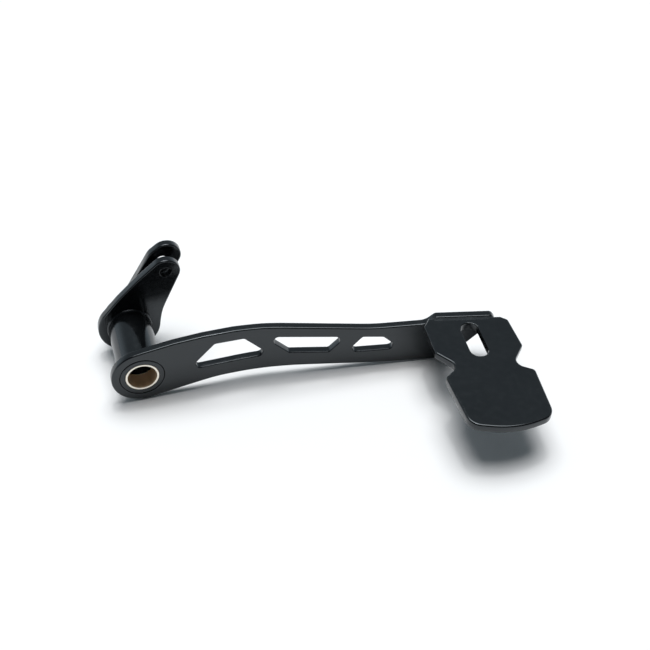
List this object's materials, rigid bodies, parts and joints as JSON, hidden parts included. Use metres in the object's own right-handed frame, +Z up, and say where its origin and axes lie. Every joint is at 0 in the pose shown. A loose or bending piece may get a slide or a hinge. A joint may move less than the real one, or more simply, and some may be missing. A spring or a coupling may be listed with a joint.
{
  "type": "motorcycle rear brake pedal lever",
  "caption": "Welded steel rear brake pedal: a flat arm with truss windows, a pivot tube with bronze bushings, a clevis for the master cylinder rod and a slotted foot plate.",
  "frame": {"origin": "on the pivot axis, in the outer face of the arm's hub", "axes": "+X forward along the arm, +Y inboard along the pivot axis, +Z up, square to the foot plate"},
  "size_m": [0.2259, 0.158, 0.0682],
  "materials": {
    "black_coat": "gloss black powder coat",
    "weld_coat": "gloss black powder coat over a weld bead",
    "bronze": "machined bearing bronze"
  },
  "bodies": {
    "root": {"lever_arm": "black_coat", "pivot_tube": "black_coat", "outer_bushing": "bronze", "inner_bushing": "bronze", "clevis_plate": "black_coat", "clevis_ear": "black_coat", "pad_plate": "black_coat", "arm_to_tube_weld": "weld_coat", "clevis_plate_weld": "weld_coat", "clevis_ear_weld": "weld_coat", "pad_under_weld": "weld_coat"}
  },
  "joints": []
}
